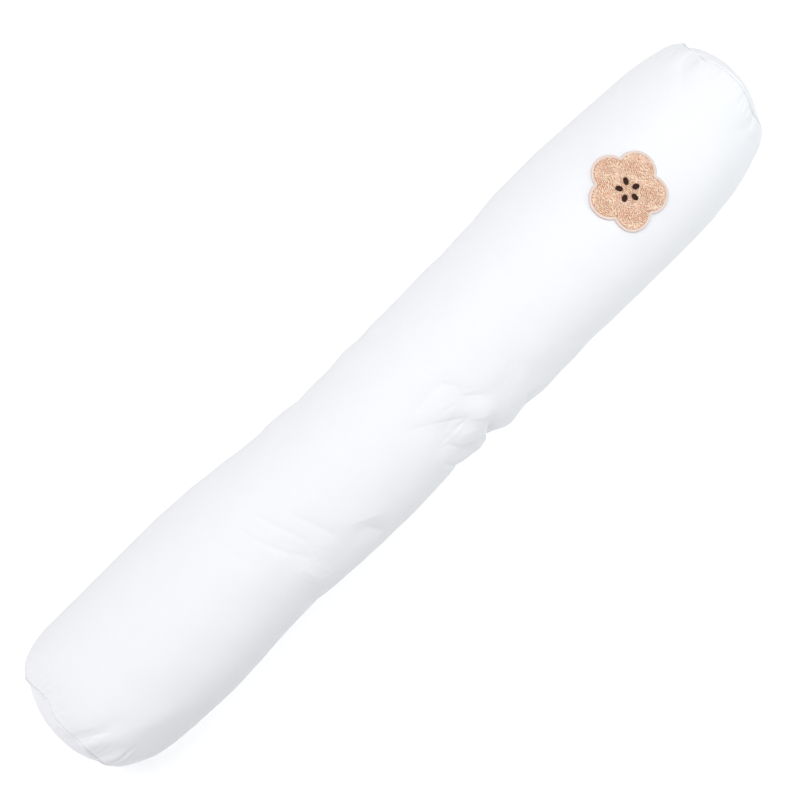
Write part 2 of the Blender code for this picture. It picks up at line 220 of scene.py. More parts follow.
# How far each end seam lies from its plane towards +X. Columns: turn, distance.
LEFT_SEAM_WAVE = (
    (-90, -1.0), (-76, 0.8), (-62, 2.0), (-45, 4.4), (-31, 6.0), (-21, 3.0), (-13, 0.8), (0, 1.2),
    (12, 1.8), (25, 0.8), (44, 0.9), (60, 1.6), (75, 2.6), (90, 2.0), (140, -1.0), (180, 1.0),
    (225, -0.5),
)
RIGHT_SEAM_WAVE = (
    (-95, 2.0), (-72, 1.6), (-60, -1.4), (-44, -3.8), (-33, -3.0), (-26, -4.0), (-18, -0.5), (-5, 1.8),
    (8, 1.4), (17, -0.6), (24, -3.4), (32, -4.4), (45, -3.4), (58, -2.4), (75, -2.6), (95, -2.0),
    (140, 1.0), (180, -1.0), (225, 1.0),
)
SEAM_WAVE_FADE = 42.0
SEAM_WAVE_STEP = 0.5
SEAM_WAVE_BLUR = 4.0
# Where a seam draws the cover in. Columns: which end, turn, how far round, how much, how far along the cover.
SEAM_DRAWS = ((1.0, -84, 26, 1.7, 7.0), (1.0, 70, 30, 0.5, 5.0), (-1.0, -70, 30, 0.6, 5.0))
# Small puckers all round both seams: how many, and their least and greatest values
RANDOM_PUCKERS = 44
PUCKER_SHIFT = 0.35
PUCKER_LENGTH = (5.0, 17.0)
PUCKER_LEAN = 4.0
PUCKER_WIDTH = (1.2, 2.2)
PUCKER_DEPTH = (0.20, 0.65)
PUCKER_SEED = 7

# The filling's soft lumps
UNEVEN_SEED = 23
UNEVEN_FADE = 30.0
# Columns: blur along X, blur round the bolster, height of the unevenness
UNEVENNESS = ((11.0, 9.0, 0.28), (26.0, 14.0, 0.40), (5.0, 8.0, 0.09))

# The seam at each end. Columns: share of the seam ring, distance out of its plane. The cover rolls in to the
# seam, and the panel rolls out of it over the seam's allowance before it domes.
COVER_LIP = ((0.997, 0.26), (0.988, 0.48), (0.975, 0.50), (0.966, 0.25), (0.962, -0.2), (0.959, -1.6))
COVER_CAP = ((0.90, -2.9), (0.60, 2.5), (0.25, 7.5))
PANEL_ROLL = (
    (0.952, -1.4), (0.953, -0.4), (0.956, 0.25), (0.962, 0.72), (0.972, 1.05), (0.980, 1.35),
    (0.978, 1.65), (0.967, 1.95), (0.957, 2.25), (0.954, 2.5), (0.958, 2.7), (0.954, 2.9),
    (0.944, 3.0), (0.928, 2.9), (0.910, 2.75), (0.890, 2.7), (0.875, 2.9),
)
PANEL_RIM = 0.95
PANEL_RIM_SINK = 0.3
PANEL_DOME_FROM = 0.86
PANEL_LAYER = 1.2
PANEL_LAYER_TAPER = 0.012
PANEL_RINGS = 40
PANEL_LAST_RING = 0.03
# The seam's unevenness is whole down to a share of the panel, and then fades by a power.
PANEL_EVEN_BLUR = 12.0
PANEL_EVEN_FROM = 0.93
PANEL_EVEN_POWER = 5
# Columns: share of the panel where a change starts, and over how much of it it grows
PANEL_LOWER = (0.80, 0.10)
PANEL_WAVE_IN = (0.55, 0.3)
PANEL_WAVE_OUT = (0.955, 0.05)
PANEL_TILT = (0.93, 0.25)
# Each end panel: its node, which way it faces, how far it bulges past its CAD solid, how square its dome is,
# its tilt, and how much lower its roll is at the sides
PANELS = (
    ("end_panel_left", -1.0, 1.5, 2.5, 0.0, 0.4),
    ("end_panel_right", 1.0, 0.9, 2.5, 0.04, 0.5),
)
# Soft waves round a panel's rim. Columns: how many, height, start in degrees.
PANEL_WAVES = ((5, 0.30, 40), (9, 0.32, 115), (14, 0.24, 200), (23, 0.22, 15), (34, 0.15, 80))

# The patch, as its CAD solids lie
PATCH_X = 241.0
PATCH_TURN = 3.0
PATCH_SPIN = 20.0
PETALS = 5
PETAL_REACH = 16.5
PETAL_RADIUS = 13.5
PILE_HEIGHT = 2.05
STRAND_END = 0.12
STRAND_TAPER = 0.35
BORDER_WIDTH = 2.4
LOOP_PITCH = 1.75
LOOP_ROW = 1.15
LOOP_HEADING = 62.0
LOOP_WANDER = 1.7
LOOP_WAVE = 3.8
LOOP_TURNING = 0.30
LOOP_JITTER = (0.3, 0.2)
LOOP_INSET = 1.5
LOOP_HALF = (0.74, 1.04)
LOOP_RADIUS = (0.38, 0.47)
LOOP_FOOT = 1.1
LOOP_TOP_SPREAD = 0.25
LOOP_BEND = 0.25
LOOP_SHAPE = 2.6
LOOP_POINTS = 8
LOOP_SIDES = 8
LOOP_SEED = 5
# The cloth under the loops. Columns of its rings: share of the flower's edge, height.
GROUND_INSET = 0.5
GROUND_AROUND = 150
GROUND_MIDDLE = 1.3
GROUND_RINGS = (
    (0.5, 0.1), (1.0, 0.1), (1.0, 1.0), (0.97, 1.25), (0.93, 1.4), (0.7, 1.3), (0.5, 1.3), (0.25, 1.3),
)
# The flower's edge, the border's threads and the ridge under them. Columns of the ridge: share of half the
# width, height.
EDGE_SAMPLES = 1440
EDGE_BLUR = 6.0
EDGE_TURN_BLUR = 1.2
STITCH_STEP = 0.40
STITCH_RADIUS = 0.27
STITCH_LEAN = 0.35
STITCH_FOOT = 0.55
STITCH_RISE = 1.35
STITCH_SPREAD = 0.16
STITCH_UNEVEN = 0.05
STITCH_SHAPE = 2.4
STITCH_POINTS = 7
THREAD_SIDES = 6
STITCH_SEED = 11
BORDER_RIDGE = ((-0.9, 0.05), (-0.85, 0.8), (-0.4, 1.6), (0.4, 1.6), (0.85, 0.8), (0.9, 0.05))
# The ovals
SEED_COUNT = 5
SEED_RING = 6.6
SEED_LENGTH = 5.6
SEED_WIDTH = 3.9
SEED_THREADS = 8
SEED_THREAD_RADIUS = 0.30
SEED_FOOT = 2.45
SEED_CROWN = 0.75
SEED_PADDING = 0.25
SEED_ROWS_REACH = 0.86
SEED_POINTS = 8
SEED_SHAPE = 2.2

# Colours: the darker and the lighter one of each slot
COTTON = ((0.863, 0.868, 0.890), (0.893, 0.898, 0.916))
TAN_PILE = ((0.91, 0.60, 0.445), (1.0, 0.86, 0.69))
# The ground cloth under the loops has the patch's tan, made darker than the loops as painted shade in the
# gaps between them
TAN_GROUND_PAINTED_SHADE = ((0.64, 0.39, 0.26), (0.75, 0.48, 0.33))
PEACH_THREAD = ((0.78, 0.65, 0.59), (0.88, 0.77, 0.71))
BROWN_THREAD = ((0.024, 0.010, 0.007), (0.075, 0.031, 0.020))
# The weave's pitch in metres, and how fine the noises of the materials are
WEAVE_PITCH = 0.0007
CRUMPLE_SCALE = 160.0
SLUB_SCALE = 900.0
FUZZ_SCALE = 2600.0
TWIST_SCALE = 1800.0
# Bumps: strength, and depth in metres
CRUMPLE_BUMP = (0.4, 0.0006)
SLUB_BUMP = (0.3, 0.0001)
WEAVE_BUMP = (0.25, 0.00004)
FUZZ_BUMP = (0.6, 0.00015)
TWIST_BUMP = (0.4, 0.0001)

# Camera: above the bolster, whose length runs across the picture's diagonal
BOLSTER_ANGLE = 44.34
CAMERA_AIM = (-0.0028, 0.0025, 0.058)
CAMERA_OFFSET = (-0.068, 0.0, 1.940)
FRAME_SHIFT_RIGHT = 0.0032
FRAME_SHIFT_UP = 0.0043
CAMERA_LENS = 110.5
SENSOR_WIDTH = 36.0

# Columns: name, place, size and power of a soft box, and its colour
LIGHTS = (
    ("overhead_box", (0.0, 0.0, 2.6), 2.6, 22.5, (1.0, 1.0, 1.0)),
    ("back_box", (0.0, 1.2, 2.4), 1.8, 32.5, (1.0, 1.0, 1.0)),
    ("patch_end_box", (2.4, 0.3, 1.6), 1.6, 9.8, (0.97, 1.0, 1.02)),
    ("front_box", (0.8, -0.9, 0.8), 0.8, 5.1, (0.97, 1.0, 1.02)),
    ("plain_end_box", (-2.5, 0.0, 0.6), 1.2, 13.6, (1.0, 0.97, 1.03)),
)
ROOM_LIGHT = 0.202
ROOM_COLOUR = (0.96, 0.98, 1.0, 1.0)
FLOOR_HALF = 3000.0
FLOOR_HEIGHT = -0.6
FLOOR_GREY = 0.90
FLOOR_GLOW = 0.30


def blur(field, sigma, axis, wrap):
    """Smooth an array with a Gaussian whose sigma is in grid steps."""
    reach = int(math.ceil(3 * sigma))
    offsets = np.arange(-reach, reach + 1)
    weights = np.exp(-0.5 * (offsets / sigma) ** 2)
    weights /= weights.sum()
    field = np.moveaxis(field, axis, 0)
    count = len(field)
    if wrap:
        padded = np.concatenate([field[-reach:], field, field[:reach]])
    else:
        before = 2 * field[:1] - field[reach:0:-1]
        after = 2 * field[-1:] - field[-2:-reach - 2:-1]
        padded = np.concatenate([before, field, after])
    total = sum(w * padded[k:k + count] for k, w in enumerate(weights))
    return np.moveaxis(total, 0, axis)


def smoothstep(value):
    """Ease from 0 to 1."""
    value = np.clip(value, 0.0, 1.0)
    return value * value * (3.0 - 2.0 * value)


def turn_directions(turns):
    """Return the unit directions, in Y and Z, of turns given in degrees."""
    rad = np.radians(turns)
    y, z = -WIDENING * np.sin(rad), np.cos(rad)
    size = np.hypot(y, z)
    return y / size, z / size


def spread(low, high, table):
    """Return places from low to high whose steps follow a table of place and step."""
    fine = np.linspace(low, high, SPREAD_SAMPLES)
    known, steps = np.array(table, dtype=float).T
    density = 1.0 / np.interp(fine, known, steps)
    count = np.concatenate([[0.0], np.cumsum((density[1:] + density[:-1]) / 2 * np.diff(fine))])
    return np.interp(np.linspace(0.0, count[-1], int(round(count[-1])) + 1), count, fine)


def seam_places():
    """Return where the two end seams lie along X, from the end panels' boxes."""
    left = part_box("end_panel_left")[1].x / MM - PANEL_INNER_DEPTH
    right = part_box("end_panel_right")[0].x / MM + PANEL_INNER_DEPTH
    return left, right


def probe_cover(places, turns):
    """Read how far the CAD cover lies from the axis, by rays from outside at each place and turn."""
    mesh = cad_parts["bolster_body"].data
    tree = BVHTree.FromPolygons([v.co for v in mesh.vertices], [p.vertices for p in mesh.polygons])
    dir_y, dir_z = turn_directions(turns)
    reach = np.zeros((len(places), len(turns)))
    for j, (dy, dz) in enumerate(zip(dir_y, dir_z)):
        inward = Vector((0.0, -dy, -dz))
        start_y = dy * PROBE_REACH * MM
        start_z = (AXIS_HEIGHT + dz * PROBE_REACH) * MM
        for i, place in enumerate(places):
            hit = tree.ray_cast(Vector((place * MM, start_y, start_z)), inward)
            reach[i, j] = PROBE_REACH - hit[3] / MM
    return reach


def fold_field(places, turns, lines):
    """Return the height of a table of fold lines at each place and turn, with low shoulders the other way."""
    x, turn = np.meshgrid(places, turns, indexing="ij")
    total = np.zeros(x.shape)
    for x1, turn1, x2, turn2, width, height in lines:
        middle = (turn1 + turn2) / 2
        nearest = middle + (turn - middle + 180.0) % 360.0 - 180.0
        across = (nearest - turn1) * MM_PER_DEGREE
        run_x, run_turn = x2 - x1, (turn2 - turn1) * MM_PER_DEGREE
        along = ((x - x1) * run_x + across * run_turn) / (run_x**2 + run_turn**2)
        along = np.clip(along, 0.0, 1.0)
        away = np.hypot(x - x1 - along * run_x, across - along * run_turn)
        hump = np.sin(math.pi * np.clip(along, FOLD_END_TAPER, 1.0 - FOLD_END_TAPER))
        fade = FOLD_END_HEIGHT + (1.0 - FOLD_END_HEIGHT) * hump
        shoulder = FOLD_SHOULDER * np.exp(-((away / (FOLD_SHOULDER_WIDTH * width)) ** 2))
        total += height * fade * (np.exp(-((away / width) ** 2)) - shoulder)
    return total


def wave_round(table, turns):
    """Read a closed table of turn and value at each turn, on smooth curves."""
    rows = [(turn + 360.0 * lap, value) for lap in (-1, 0, 1) for turn, value in table]
    known, values = np.array(sorted(rows)).T
    fine = np.arange(0.0, 360.0, SEAM_WAVE_STEP)
    smooth = blur(np.interp(fine, known, values), SEAM_WAVE_BLUR, 0, True)
    return np.interp(np.asarray(turns) % 360.0, np.append(fine, 360.0), np.append(smooth, smooth[0]))


def pucker_lines(seam, outward, table, rng):
    """Return fold lines for the puckers at one seam: those of the table, and small uneven ones all round."""
    lines = []
    for seam_turn, fade_turn, length, width, height in table:
        lines.append((seam, seam_turn, seam - outward * length, fade_turn, width, height))
    for k in range(RANDOM_PUCKERS):
        turn = 360.0 * (k + rng.uniform(-PUCKER_SHIFT, PUCKER_SHIFT)) / RANDOM_PUCKERS
        length = rng.uniform(*PUCKER_LENGTH)
        lean = rng.uniform(-PUCKER_LEAN, PUCKER_LEAN)
        width = rng.uniform(*PUCKER_WIDTH)
        height = -rng.uniform(*PUCKER_DEPTH)
        lines.append((seam, turn, seam - outward * length, turn + lean, width, height))
    return lines


def unevenness(shape, step_along, step_round):
    """Return the soft lumps that the filling leaves under the cloth."""
    rng = np.random.RandomState(UNEVEN_SEED)
    total = np.zeros(shape)
    for blur_along, blur_round, height in UNEVENNESS:
        layer = rng.normal(size=shape)
        layer = blur(layer, blur_along / step_along, 0, False)
        layer = blur(layer, blur_round / step_round, 1, True)
        total += height * layer / layer.std()
    return total


def fill_with_cloth(points, held, slack):
    """Put pressure into the closed cover in a cloth simulation, and return its moved points."""
    flat, faces = closed_rings([points[0].mean(axis=0), *points, points[-1].mean(axis=0)])
    piece = mesh_object("cloth_study", flat, faces, None)
    for name, weights in (("held", held), ("slack", slack)):
        group = piece.vertex_groups.new(name=name)
        for index, weight in enumerate(weights.ravel()):
            group.add([index + 1], float(weight), "REPLACE")
    piece.vertex_groups["held"].add([0, len(flat) - 1], 1.0, "REPLACE")
    cloth = piece.modifiers.new("filling", "CLOTH")
    cloth.collision_settings.use_collision = False
    cloth.point_cache.frame_start = 1
    cloth.point_cache.frame_end = CLOTH_FRAMES
    settings = cloth.settings
    settings.quality = CLOTH_QUALITY
    settings.mass = CLOTH_MASS
    settings.tension_stiffness = CLOTH_STIFFNESS
    settings.compression_stiffness = CLOTH_STIFFNESS
    settings.shear_stiffness = CLOTH_SHEAR_STIFFNESS
    settings.bending_stiffness = CLOTH_BENDING
    settings.use_pressure = True
    settings.uniform_pressure_force = CLOTH_PRESSURE
    settings.vertex_group_mass = "held"
    settings.vertex_group_shrink = "slack"
    settings.shrink_min = 0.0
    settings.shrink_max = -CLOTH_SLACK
    settings.effector_weights.gravity = 0.0
    for number in range(1, CLOTH_FRAMES + 1):
        bpy.context.scene.frame_set(number)
    moved = np.zeros(len(flat) * 3, dtype=np.float32)
    piece.evaluated_get(bpy.context.evaluated_depsgraph_get()).data.vertices.foreach_get("co", moved)
    data = piece.data
    bpy.data.objects.remove(piece)
    bpy.data.meshes.remove(data)
    bpy.context.scene.frame_set(1)
    return moved.reshape(-1, 3)[1:-1].reshape(points.shape) / MM


class Cover:
    """The cover as a grid of points in millimetres, with normals, that other pieces can be laid on."""

    def __init__(self):
        self.left, self.right = seam_places()
        probe_count = int(round((self.right - self.left - 2 * PROBE_MARGIN) / PROBE_STEP)) + 1
        ends = self.left + PROBE_MARGIN, self.right - PROBE_MARGIN
        self.probe_places = np.linspace(*ends, probe_count)
        self.probe_turns = np.arange(PROBE_AROUND) * 360.0 / PROBE_AROUND
        self.step_along = self.probe_places[1] - self.probe_places[0]
        self.step_round = 360.0 / PROBE_AROUND * MM_PER_DEGREE
        self.smoothed = self.smooth(probe_cover(self.probe_places, self.probe_turns))
        self.lumps = unevenness(self.smoothed.shape, self.step_along, self.step_round)
        self.lines = self.fold_lines()

        self.places = spread(self.left + GRID_MARGIN, self.right - GRID_MARGIN, RING_STEPS)
        self.turns = spread(-180.0, 180.0, TURN_STEPS)[:-1]
        self.left_wave = wave_round(LEFT_SEAM_WAVE, self.turns)
        self.right_wave = wave_round(RIGHT_SEAM_WAVE, self.turns)
        reach = self.read(self.smoothed, self.places, self.turns) + self.detail(self.places, self.turns)
        reach += self.cloth_folds()
        self.points = self.make_points(self.places, self.turns, reach)
        self.normals = self.make_normals()

    def smooth(self, reach):
        """Take the CAD solid's facets away, more gently near the seams."""
        def both(along, round_it):
            soft = blur(reach, along / self.step_along, 0, False)
            return blur(soft, round_it / self.step_round, 1, True)
        soft, near = both(SMOOTH_ALONG, SMOOTH_ROUND), both(SMOOTH_AT_ENDS, SMOOTH_AT_ENDS)
        away = np.minimum(self.probe_places - self.left, self.right - self.probe_places)
        share = smoothstep(away / END_FADE)[:, None]
        return soft * share + near * (1 - share)

    def read(self, field, places, turns):
        """Read a field of the probe's grid at other places and turns."""
        row = np.clip((places - self.probe_places[0]) / self.step_along, 0, len(self.probe_places) - 1.001)
        column = (turns % 360.0) / 360.0 * PROBE_AROUND
        i, j = row.astype(int), column.astype(int) % PROBE_AROUND
        k = (j + 1) % PROBE_AROUND
        a, b = (row - i)[:, None], (column - np.floor(column))[None, :]
        low = field[i][:, j] * (1 - b) + field[i][:, k] * b
        high = field[i + 1][:, j] * (1 - b) + field[i + 1][:, k] * b
        return low * (1 - a) + high * a

    def fold_lines(self):
        """Return the lines of the fine folds and of the puckers at both seams."""
        rng = np.random.RandomState(PUCKER_SEED)
        lines = list(FINE_FOLDS)
        lines += pucker_lines(self.left - TABLE_X, -1.0, LEFT_FINE_PUCKERS, rng)
        lines += pucker_lines(self.right - TABLE_X, 1.0, RIGHT_FINE_PUCKERS, rng)
        return lines

    def detail(self, places, turns):
        """Return the fine folds, the puckers and the unevenness, as height over the smoothed solid."""
        folds = fold_field(places - TABLE_X, turns, self.lines)
        for outward, turn, round_it, depth, length in SEAM_DRAWS:
            from_seam = self.right - places if outward > 0 else places - self.left
            along = np.exp(-((from_seam / length) ** 2))
            folds -= depth * along[:, None] * np.exp(-(((turns - turn) / round_it) ** 2))[None, :]
        away = np.minimum(places - self.left, self.right - places)
        return folds + self.read(self.lumps, places, turns) * smoothstep(away / UNEVEN_FADE)[:, None]

    def cloth_folds(self):
        """Return the folds that a cloth simulation adds to the cover, as height at the grid's points."""
        places = spread(self.left + GRID_MARGIN, self.right - GRID_MARGIN, CLOTH_RING_STEPS)
        turns = spread(-180.0, 180.0, CLOTH_TURN_STEPS)[:-1]
        reach = self.read(self.smoothed, places, turns) + self.detail(places, turns)
        start = self.make_points(places, turns, reach)
        away = np.minimum(places - self.left, self.right - places)[:, None]
        slack = np.repeat(np.exp(-((away / SLACK_AT_SEAM) ** 2)), len(turns), axis=1)
        for place, turn, reach_x, reach_turn, share in SLACK_PATCHES:
            off_along = ((places - TABLE_X - place) / reach_x)[:, None]
            off_round = ((turns - turn) / reach_turn)[None, :]
            slack = np.maximum(slack, share * np.exp(-(off_along**2 + off_round**2)))
        held = np.where((away < CLOTH_HELD_AT_SEAM) | (start[..., 2] < CLOTH_HELD_AT_FLOOR), 1.0, 0.0)
        moved = fill_with_cloth(start, held, slack)
        dir_y, dir_z = turn_directions(turns)
        lift = (moved[..., 1] - start[..., 1]) * dir_y + (moved[..., 2] - start[..., 2]) * dir_z
        at = np.interp(self.probe_places, places, np.arange(len(places)))
        i = np.clip(at.astype(int), 0, len(places) - 2)
        a = (at - i)[:, None]
        along = lift[i] * (1 - a) + lift[i + 1] * a
        centred = (self.probe_turns + 180.0) % 360.0 - 180.0
        known = np.append(turns, 180.0)
        even = np.stack([np.interp(centred, known, np.append(row, row[0])) for row in along])
        broad = blur(even, CLOTH_KEPT_SIZE / self.step_along, 0, False)
        broad = blur(broad, CLOTH_KEPT_SIZE / self.step_round, 1, True)
        folds = CLOTH_CAP * np.tanh((even - broad) / CLOTH_CAP)
        from_seam = np.minimum(self.probe_places - self.left, self.right - self.probe_places)[:, None]
        folds *= smoothstep(from_seam / CLOTH_FADE_AT_SEAM)
        return self.read(folds, self.places, self.turns)

    def make_points(self, places, turns, reach):
        """Return a grid's points, none lower than the floor."""
        dir_y, dir_z = turn_directions(turns)
        x = np.repeat(places[:, None], len(turns), axis=1)
        near_left = smoothstep(1.0 - (places - self.left) / SEAM_WAVE_FADE)[:, None]
        near_right = smoothstep(1.0 - (self.right - places) / SEAM_WAVE_FADE)[:, None]
        x += wave_round(LEFT_SEAM_WAVE, turns) * near_left + wave_round(RIGHT_SEAM_WAVE, turns) * near_right
        y = dir_y[None, :] * reach
        z = AXIS_HEIGHT + dir_z[None, :] * reach
        return np.stack([x, y, np.maximum(z, 0.0)], axis=-1)

    def make_normals(self):
        """Return the unit normals of the grid's points."""
        along = np.gradient(self.points, axis=0)
        wrapped = np.concatenate([self.points[:, -1:], self.points, self.points[:, :1]], axis=1)
        round_it = (wrapped[:, 2:] - wrapped[:, :-2]) / 2
        normals = np.cross(round_it, along)
        normals /= np.linalg.norm(normals, axis=-1, keepdims=True)
        outward = np.sum(normals * (self.points - np.array([0.0, 0.0, AXIS_HEIGHT])) * [0, 1, 1], axis=-1)
        return normals * np.sign(outward.mean())

    def seam_ring(self, outward):
        """Return the ring of points along one of the end seams."""
        ring = self.points[0 if outward < 0 else -1].copy()
        ring[:, 0] = self.left + self.left_wave if outward < 0 else self.right + self.right_wave
        return ring

    def lay(self, x, turn, lift):
        """Return points that lie on the cover at places and turns, lifted along its normal."""
        row = np.clip(np.interp(x, self.places, np.arange(len(self.places))), 0, len(self.places) - 1.001)
        centred = (np.asarray(turn) + 180.0) % 360.0 - 180.0
        column = np.interp(centred, np.append(self.turns, 180.0), np.arange(len(self.turns) + 1))
        i, j = row.astype(int), column.astype(int) % len(self.turns)
        a, b = (row - i)[..., None], (column - column.astype(int))[..., None]
        k = (j + 1) % len(self.turns)

        def read(grid):
            low = grid[i, j] * (1 - b) + grid[i, k] * b
            high = grid[i + 1, j] * (1 - b) + grid[i + 1, k] * b
            return low * (1 - a) + high * a
        return read(self.points) + read(self.normals) * np.asarray(lift)[..., None]


def mesh_object(name, points, faces, material, smooth=True):
    """Make an object from points in millimetres and faces."""
    data = bpy.data.meshes.new(name)
    data.from_pydata((np.asarray(points).reshape(-1, 3) * MM).tolist(), [], faces)
    data.validate()
    if material is not None:
        data.materials.append(material)
    if smooth:
        data.shade_smooth()
    piece = bpy.data.objects.new(name, data)
    bpy.context.scene.collection.objects.link(piece)
    return piece


def ring_faces(ring_count, around, start=0, flip=False):
    """Return the quads between rings of points that lie one after the other."""
    i, j = np.meshgrid(np.arange(ring_count - 1), np.arange(around), indexing="ij")
    k = (j + 1) % around
    quads = np.stack([i * around + j, i * around + k, (i + 1) * around + k, (i + 1) * around + j], axis=-1)
    quads = quads.reshape(-1, 4) + start
    return (quads[:, ::-1] if flip else quads).tolist()


def closed_rings(rings, flip=False):
    """Join rings between two end points into one closed form, and return its points and faces."""
    first, middle, last = rings[0], rings[1:-1], rings[-1]
    around = len(middle[0])
    points = np.concatenate([first.reshape(1, 3), *middle, last.reshape(1, 3)])
    faces = ring_faces(len(middle), around, start=1, flip=flip)
    end = len(points) - 1
    for j in range(around):
        k = (j + 1) % around
        base = end - around
        head, tail = [0, 1 + k, 1 + j], [end, base + j, base + k]
        faces.append(head[::-1] if flip else head)
        faces.append(tail[::-1] if flip else tail)
    return points, faces


def scaled_ring(ring, share, offset, plain=None):
    """Return a seam ring drawn in to a share of its size and moved along X, plainer the smaller it is."""
    if plain is not None:
        ring = plain + (ring - plain) * min(1.0, share / PANEL_EVEN_FROM) ** PANEL_EVEN_POWER
    centre = (ring.min(axis=0) + ring.max(axis=0)) / 2
    points = centre + (ring - centre) * share
    points[:, 0] = ring[:, 0] + offset
    return points


def store_uv(piece, points_uv):
    """Keep the cloth's own coordinates, in metres, as the piece's UV map."""
    layer = piece.data.uv_layers.new(name="cloth")
    loops = np.zeros(len(piece.data.loops), dtype=np.int32)
    piece.data.loops.foreach_get("vertex_index", loops)
    layer.data.foreach_set("uv", points_uv[loops].astype(np.float32).ravel())


def add_cover(cover, material):
    """The cotton tube: the grid, its rolled edges at the seams, and the ends closed behind the panels."""
    left_ring, right_ring = cover.seam_ring(-1.0), cover.seam_ring(1.0)
    rings = [scaled_ring(left_ring, share, -offset) for share, offset in (COVER_LIP + COVER_CAP)][::-1]
    rings += list(cover.points)
    rings += [scaled_ring(right_ring, share, offset) for share, offset in (COVER_LIP + COVER_CAP)]
    first, last = rings[0].mean(axis=0), rings[-1].mean(axis=0)
    points, faces = closed_rings([first, *rings, last])
    piece = mesh_object("cotton_cover", points, faces, material)
    uv = np.zeros((len(points), 2))
    uv[1:-1, 0] = points[1:-1, 0] * MM
    uv[1:-1, 1] = np.tile(cover.turns * MM_PER_DEGREE * MM, len(rings))
    store_uv(piece, uv)
    return piece


def dome_height(share, bulge, power):
    """Return how far an end panel stands out at a share of its radius."""
    return (bulge + PANEL_RIM_SINK) * (1.0 - (share / PANEL_RIM) ** power) - PANEL_RIM_SINK


def add_end_panel(name, ring, outward, bulge, power, tilt, lowering, turns, material):
    """One round end panel: it rolls out of the seam over the allowance, and then domes."""
    plain = blur(ring, PANEL_EVEN_BLUR, 0, True)
    plain[:, 0] = ring[:, 0].mean()
    waves = sum(height * np.sin(np.radians(count * turns + start)) for count, height, start in PANEL_WAVES)
    lower_at_sides = lowering * np.sin(np.radians(turns)) ** 2
    last = PANEL_ROLL[-1][0]
    shares = last * np.sin(np.linspace(math.pi / 2, PANEL_LAST_RING, PANEL_RINGS))[1:]
    profile = list(PANEL_ROLL)
    for share in shares:
        join = smoothstep((share - PANEL_DOME_FROM) / (last - PANEL_DOME_FROM))
        profile.append((share, PANEL_ROLL[-1][1] * join + dome_height(share, bulge, power) * (1 - join)))

    def grows(share, change, sign=1.0):
        """Return how far a change has grown at a share of the panel, outwards or, with sign -1, inwards."""
        start, reach = change
        return smoothstep(sign * (share - start) / reach)

    def rings_at(depth, start):
        """Return the panel's rings at a depth under its face, with its waves."""
        rings = []
        for share, rise in profile[start:]:
            taper = PANEL_LAYER_TAPER * depth * (share > PANEL_EVEN_FROM)
            ring_here = scaled_ring(ring, share - taper, 0.0, plain)
            rises = rise - max(rise, 0.0) * lower_at_sides * grows(share, PANEL_LOWER)
            ring_here[:, 0] += outward * (rises - depth)
            waviness = grows(share, PANEL_WAVE_IN) * grows(share, PANEL_WAVE_OUT, -1.0)
            ring_here[:, 0] += outward * waves * waviness
            ring_here[:, 0] += outward * tilt * ring_here[:, 1] * grows(share, PANEL_TILT, -1.0)
            rings.append(ring_here)
        return rings
    outer, inner = rings_at(0.0, 0), rings_at(PANEL_LAYER, 1)
    crown = (plain.min(axis=0) + plain.max(axis=0)) / 2
    crown_out, crown_in = crown.copy(), crown.copy()
    crown_out[0] += outward * dome_height(0.0, bulge, power)
    crown_in[0] += outward * (dome_height(0.0, bulge, power) - PANEL_LAYER)
    rings = [crown_in, *inner[::-1], *outer, crown_out]
    points, faces = closed_rings(rings, flip=outward < 0)
    piece = mesh_object(name, points, faces, material)
    store_uv(piece, points[:, 1:] * MM)
    return piece


def petal_outline(radius, angles):
    """Return how far the flower's edge is from its middle at each angle, for a petal radius."""
    half_petal = math.pi / PETALS
    from_petal = (angles + half_petal) % (2 * half_petal) - half_petal
    return PETAL_REACH * np.cos(from_petal) + np.sqrt(radius**2 - (PETAL_REACH * np.sin(from_petal)) ** 2)


def turned(u, v, angle):
    """Turn plane coordinates by an angle."""
    return u * np.cos(angle) - v * np.sin(angle), u * np.sin(angle) + v * np.cos(angle)


def on_patch(cover, u, v, lift):
    """Place points of the patch, given in its own plane with a lift, on the cover."""
    along, across = turned(u, v, math.radians(PATCH_SPIN))
    return cover.lay(PATCH_X + TABLE_X + along, PATCH_TURN - across / MM_PER_DEGREE, lift)


def tubes(cover, lines, radii, sides):
    """Sweep strands, each with its radius, over the patch. Lines is (strand, point, [u, v, lift])."""
    count, steps, _ = lines.shape
    tangent = np.gradient(lines, axis=1)
    tangent /= np.linalg.norm(tangent, axis=-1, keepdims=True)
    side = np.cross(tangent, [0.0, 0.0, 1.0])
    side /= np.maximum(np.linalg.norm(side, axis=-1, keepdims=True), 1e-6)
    over = np.cross(side, tangent)
    around = np.arange(sides) * 2 * math.pi / sides
    taper = np.sin(np.linspace(STRAND_END, 1.0 - STRAND_END, steps) * math.pi) ** STRAND_TAPER
    radius = radii[:, None, None, None] * taper[None, :, None, None]
    ring = (side[:, :, None] * np.cos(around)[:, None] + over[:, :, None] * np.sin(around)[:, None]) * radius
    flat = (lines[:, :, None] + ring).reshape(-1, 3)
    points = on_patch(cover, flat[:, 0], flat[:, 1], flat[:, 2])
    faces = []
    block = steps * sides
    one = ring_faces(steps, sides, flip=True)
    start_cap, end_cap = list(range(sides)), list(range(block - sides, block))[::-1]
    template = [np.array(f) for f in one + [start_cap, end_cap]]
    for k in range(count):
        faces += [(f + k * block).tolist() for f in template]
    return points, faces


